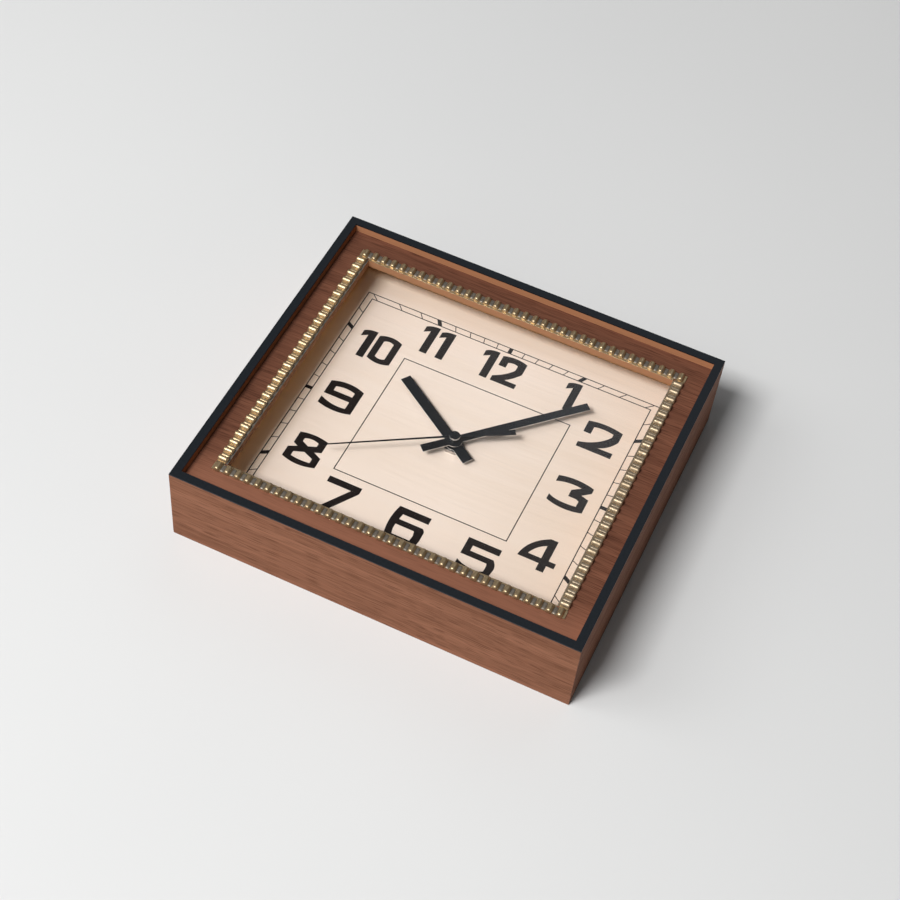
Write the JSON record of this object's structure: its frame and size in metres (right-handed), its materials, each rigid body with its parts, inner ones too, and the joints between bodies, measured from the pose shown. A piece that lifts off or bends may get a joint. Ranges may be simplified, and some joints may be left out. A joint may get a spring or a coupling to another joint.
{
  "type": "wooden desk clock",
  "caption": "Rectangular walnut desk clock with a recessed panel, ribbed brass trim round a glazed window, a pale wooden dial and black hands on a quartz movement.",
  "frame": {"origin": "middle of the back of the case, which lies on the floor", "axes": "+X towards the three on the dial, +Y towards the twelve, +Z out of the dial"},
  "size_m": [0.22, 0.2, 0.05],
  "materials": {
    "walnut_case": "satin veneer",
    "walnut_panel": "satin veneer",
    "black_edging": "satin",
    "antique_brass": "aged, polished on the ribs",
    "pane": "clear",
    "dial_maple": "matt veneer with black print",
    "batten_wood": "planed",
    "bright_nut": "bright nickel",
    "bush_brass": "turned",
    "housing_black": "moulded",
    "knob_plastic": "moulded",
    "cell_jacket": "plain jacket",
    "contact_steel": "nickel plated",
    "board_green": "lacquered",
    "coil_copper": "enamelled wire",
    "stator_steel": "stamped",
    "magnet_grey": "sintered",
    "wheel_plastic": "moulded",
    "hand_black": "matt black lacquer",
    "collet_nickel": "turned"
  },
  "bodies": {
    "case": {"case_top": "walnut_case", "case_bottom": "walnut_case", "case_left": "walnut_case", "case_right": "walnut_case", "front_panel": "walnut_panel", "edge_band_top": "black_edging", "edge_band_bottom": "black_edging", "edge_band_left": "black_edging", "edge_band_right": "black_edging", "trim_top": "antique_brass", "trim_bottom": "antique_brass", "trim_left": "antique_brass", "trim_right": "antique_brass", "front_glass": "pane", "dial_board": "dial_maple", "spacer_top": "batten_wood", "spacer_bottom": "batten_wood", "spacer_left": "batten_wood", "spacer_right": "batten_wood", "cleat_top": "batten_wood", "cleat_bottom": "batten_wood", "cleat_left": "batten_wood", "cleat_right": "batten_wood", "bush_nut": "bright_nut", "threaded_bush": "bush_brass", "movement_front": "housing_black", "movement_rear": "housing_black", "battery": "cell_jacket", "contact_positive": "contact_steel", "contact_negative": "contact_steel", "circuit_board": "board_green", "coil": "coil_copper", "stator": "stator_steel"},
    "seconds_arbor": {"second_hand": "hand_black", "seconds_wheel": "wheel_plastic"},
    "minute_arbor": {"minute_hand": "hand_black", "minute_collet": "collet_nickel", "cannon_pinion": "wheel_plastic"},
    "hour_arbor": {"hour_hand": "hand_black", "hour_wheel": "wheel_plastic"},
    "motion_wheel": {"minute_wheel": "wheel_plastic"},
    "knob": {"setting_knob": "knob_plastic"},
    "rotor_arbor": {"rotor": "magnet_grey", "rotor_pinion": "wheel_plastic"},
    "intermediate_arbor": {"intermediate_wheel": "wheel_plastic"},
    "third_arbor": {"third_wheel": "wheel_plastic"},
    "centre_arbor": {"centre_wheel": "wheel_plastic"}
  },
  "joints": [
    {"name": "second_spin", "type": "hinge", "parent": "case", "child": "seconds_arbor", "pos_m": [0, 0, 0.032], "axis": [0, 0, -1], "continuous": true},
    {"name": "minute_spin", "type": "hinge", "parent": "case", "child": "minute_arbor", "pos_m": [0, 0, 0.0285], "axis": [0, 0, -1], "continuous": true},
    {"name": "hour_spin", "type": "hinge", "parent": "case", "child": "hour_arbor", "pos_m": [0, 0, 0.0261], "axis": [0, 0, -1], "continuous": true},
    {"name": "motion_wheel_spin", "type": "hinge", "parent": "case", "child": "motion_wheel", "pos_m": [0.00705, -0.00257, 0.016], "axis": [0, 0, -1], "continuous": true},
    {"name": "knob_spin", "type": "hinge", "parent": "case", "child": "knob", "pos_m": [0.0141, 0, 0.002], "axis": [0, 0, -1], "continuous": true},
    {"name": "rotor_spin", "type": "hinge", "parent": "case", "child": "rotor_arbor", "pos_m": [-0.01619, 0.00295, 0.008], "axis": [0, 0, -1], "continuous": true},
    {"name": "intermediate_spin", "type": "hinge", "parent": "case", "child": "intermediate_arbor", "pos_m": [-0.00891, -0.00125, 0.0103], "axis": [0, 0, -1], "continuous": true},
    {"name": "third_spin", "type": "hinge", "parent": "case", "child": "third_arbor", "pos_m": [-0.00349, 0.00958, 0.0131], "axis": [0, 0, -1], "continuous": true},
    {"name": "centre_spin", "type": "hinge", "parent": "case", "child": "centre_arbor", "pos_m": [0, 0, 0.0145], "axis": [0, 0, -1], "continuous": true}
  ],
  "couplings": [
    {"joint": "hour_spin", "follows": "minute_spin", "ratio": 0.083333},
    {"joint": "motion_wheel_spin", "follows": "minute_spin", "ratio": -0.33333},
    {"joint": "knob_spin", "follows": "minute_spin", "ratio": 1},
    {"joint": "rotor_spin", "follows": "second_spin", "ratio": 30},
    {"joint": "intermediate_spin", "follows": "second_spin", "ratio": -5},
    {"joint": "third_spin", "follows": "second_spin", "ratio": -0.13333},
    {"joint": "centre_spin", "follows": "second_spin", "ratio": 0.016667}
  ]
}
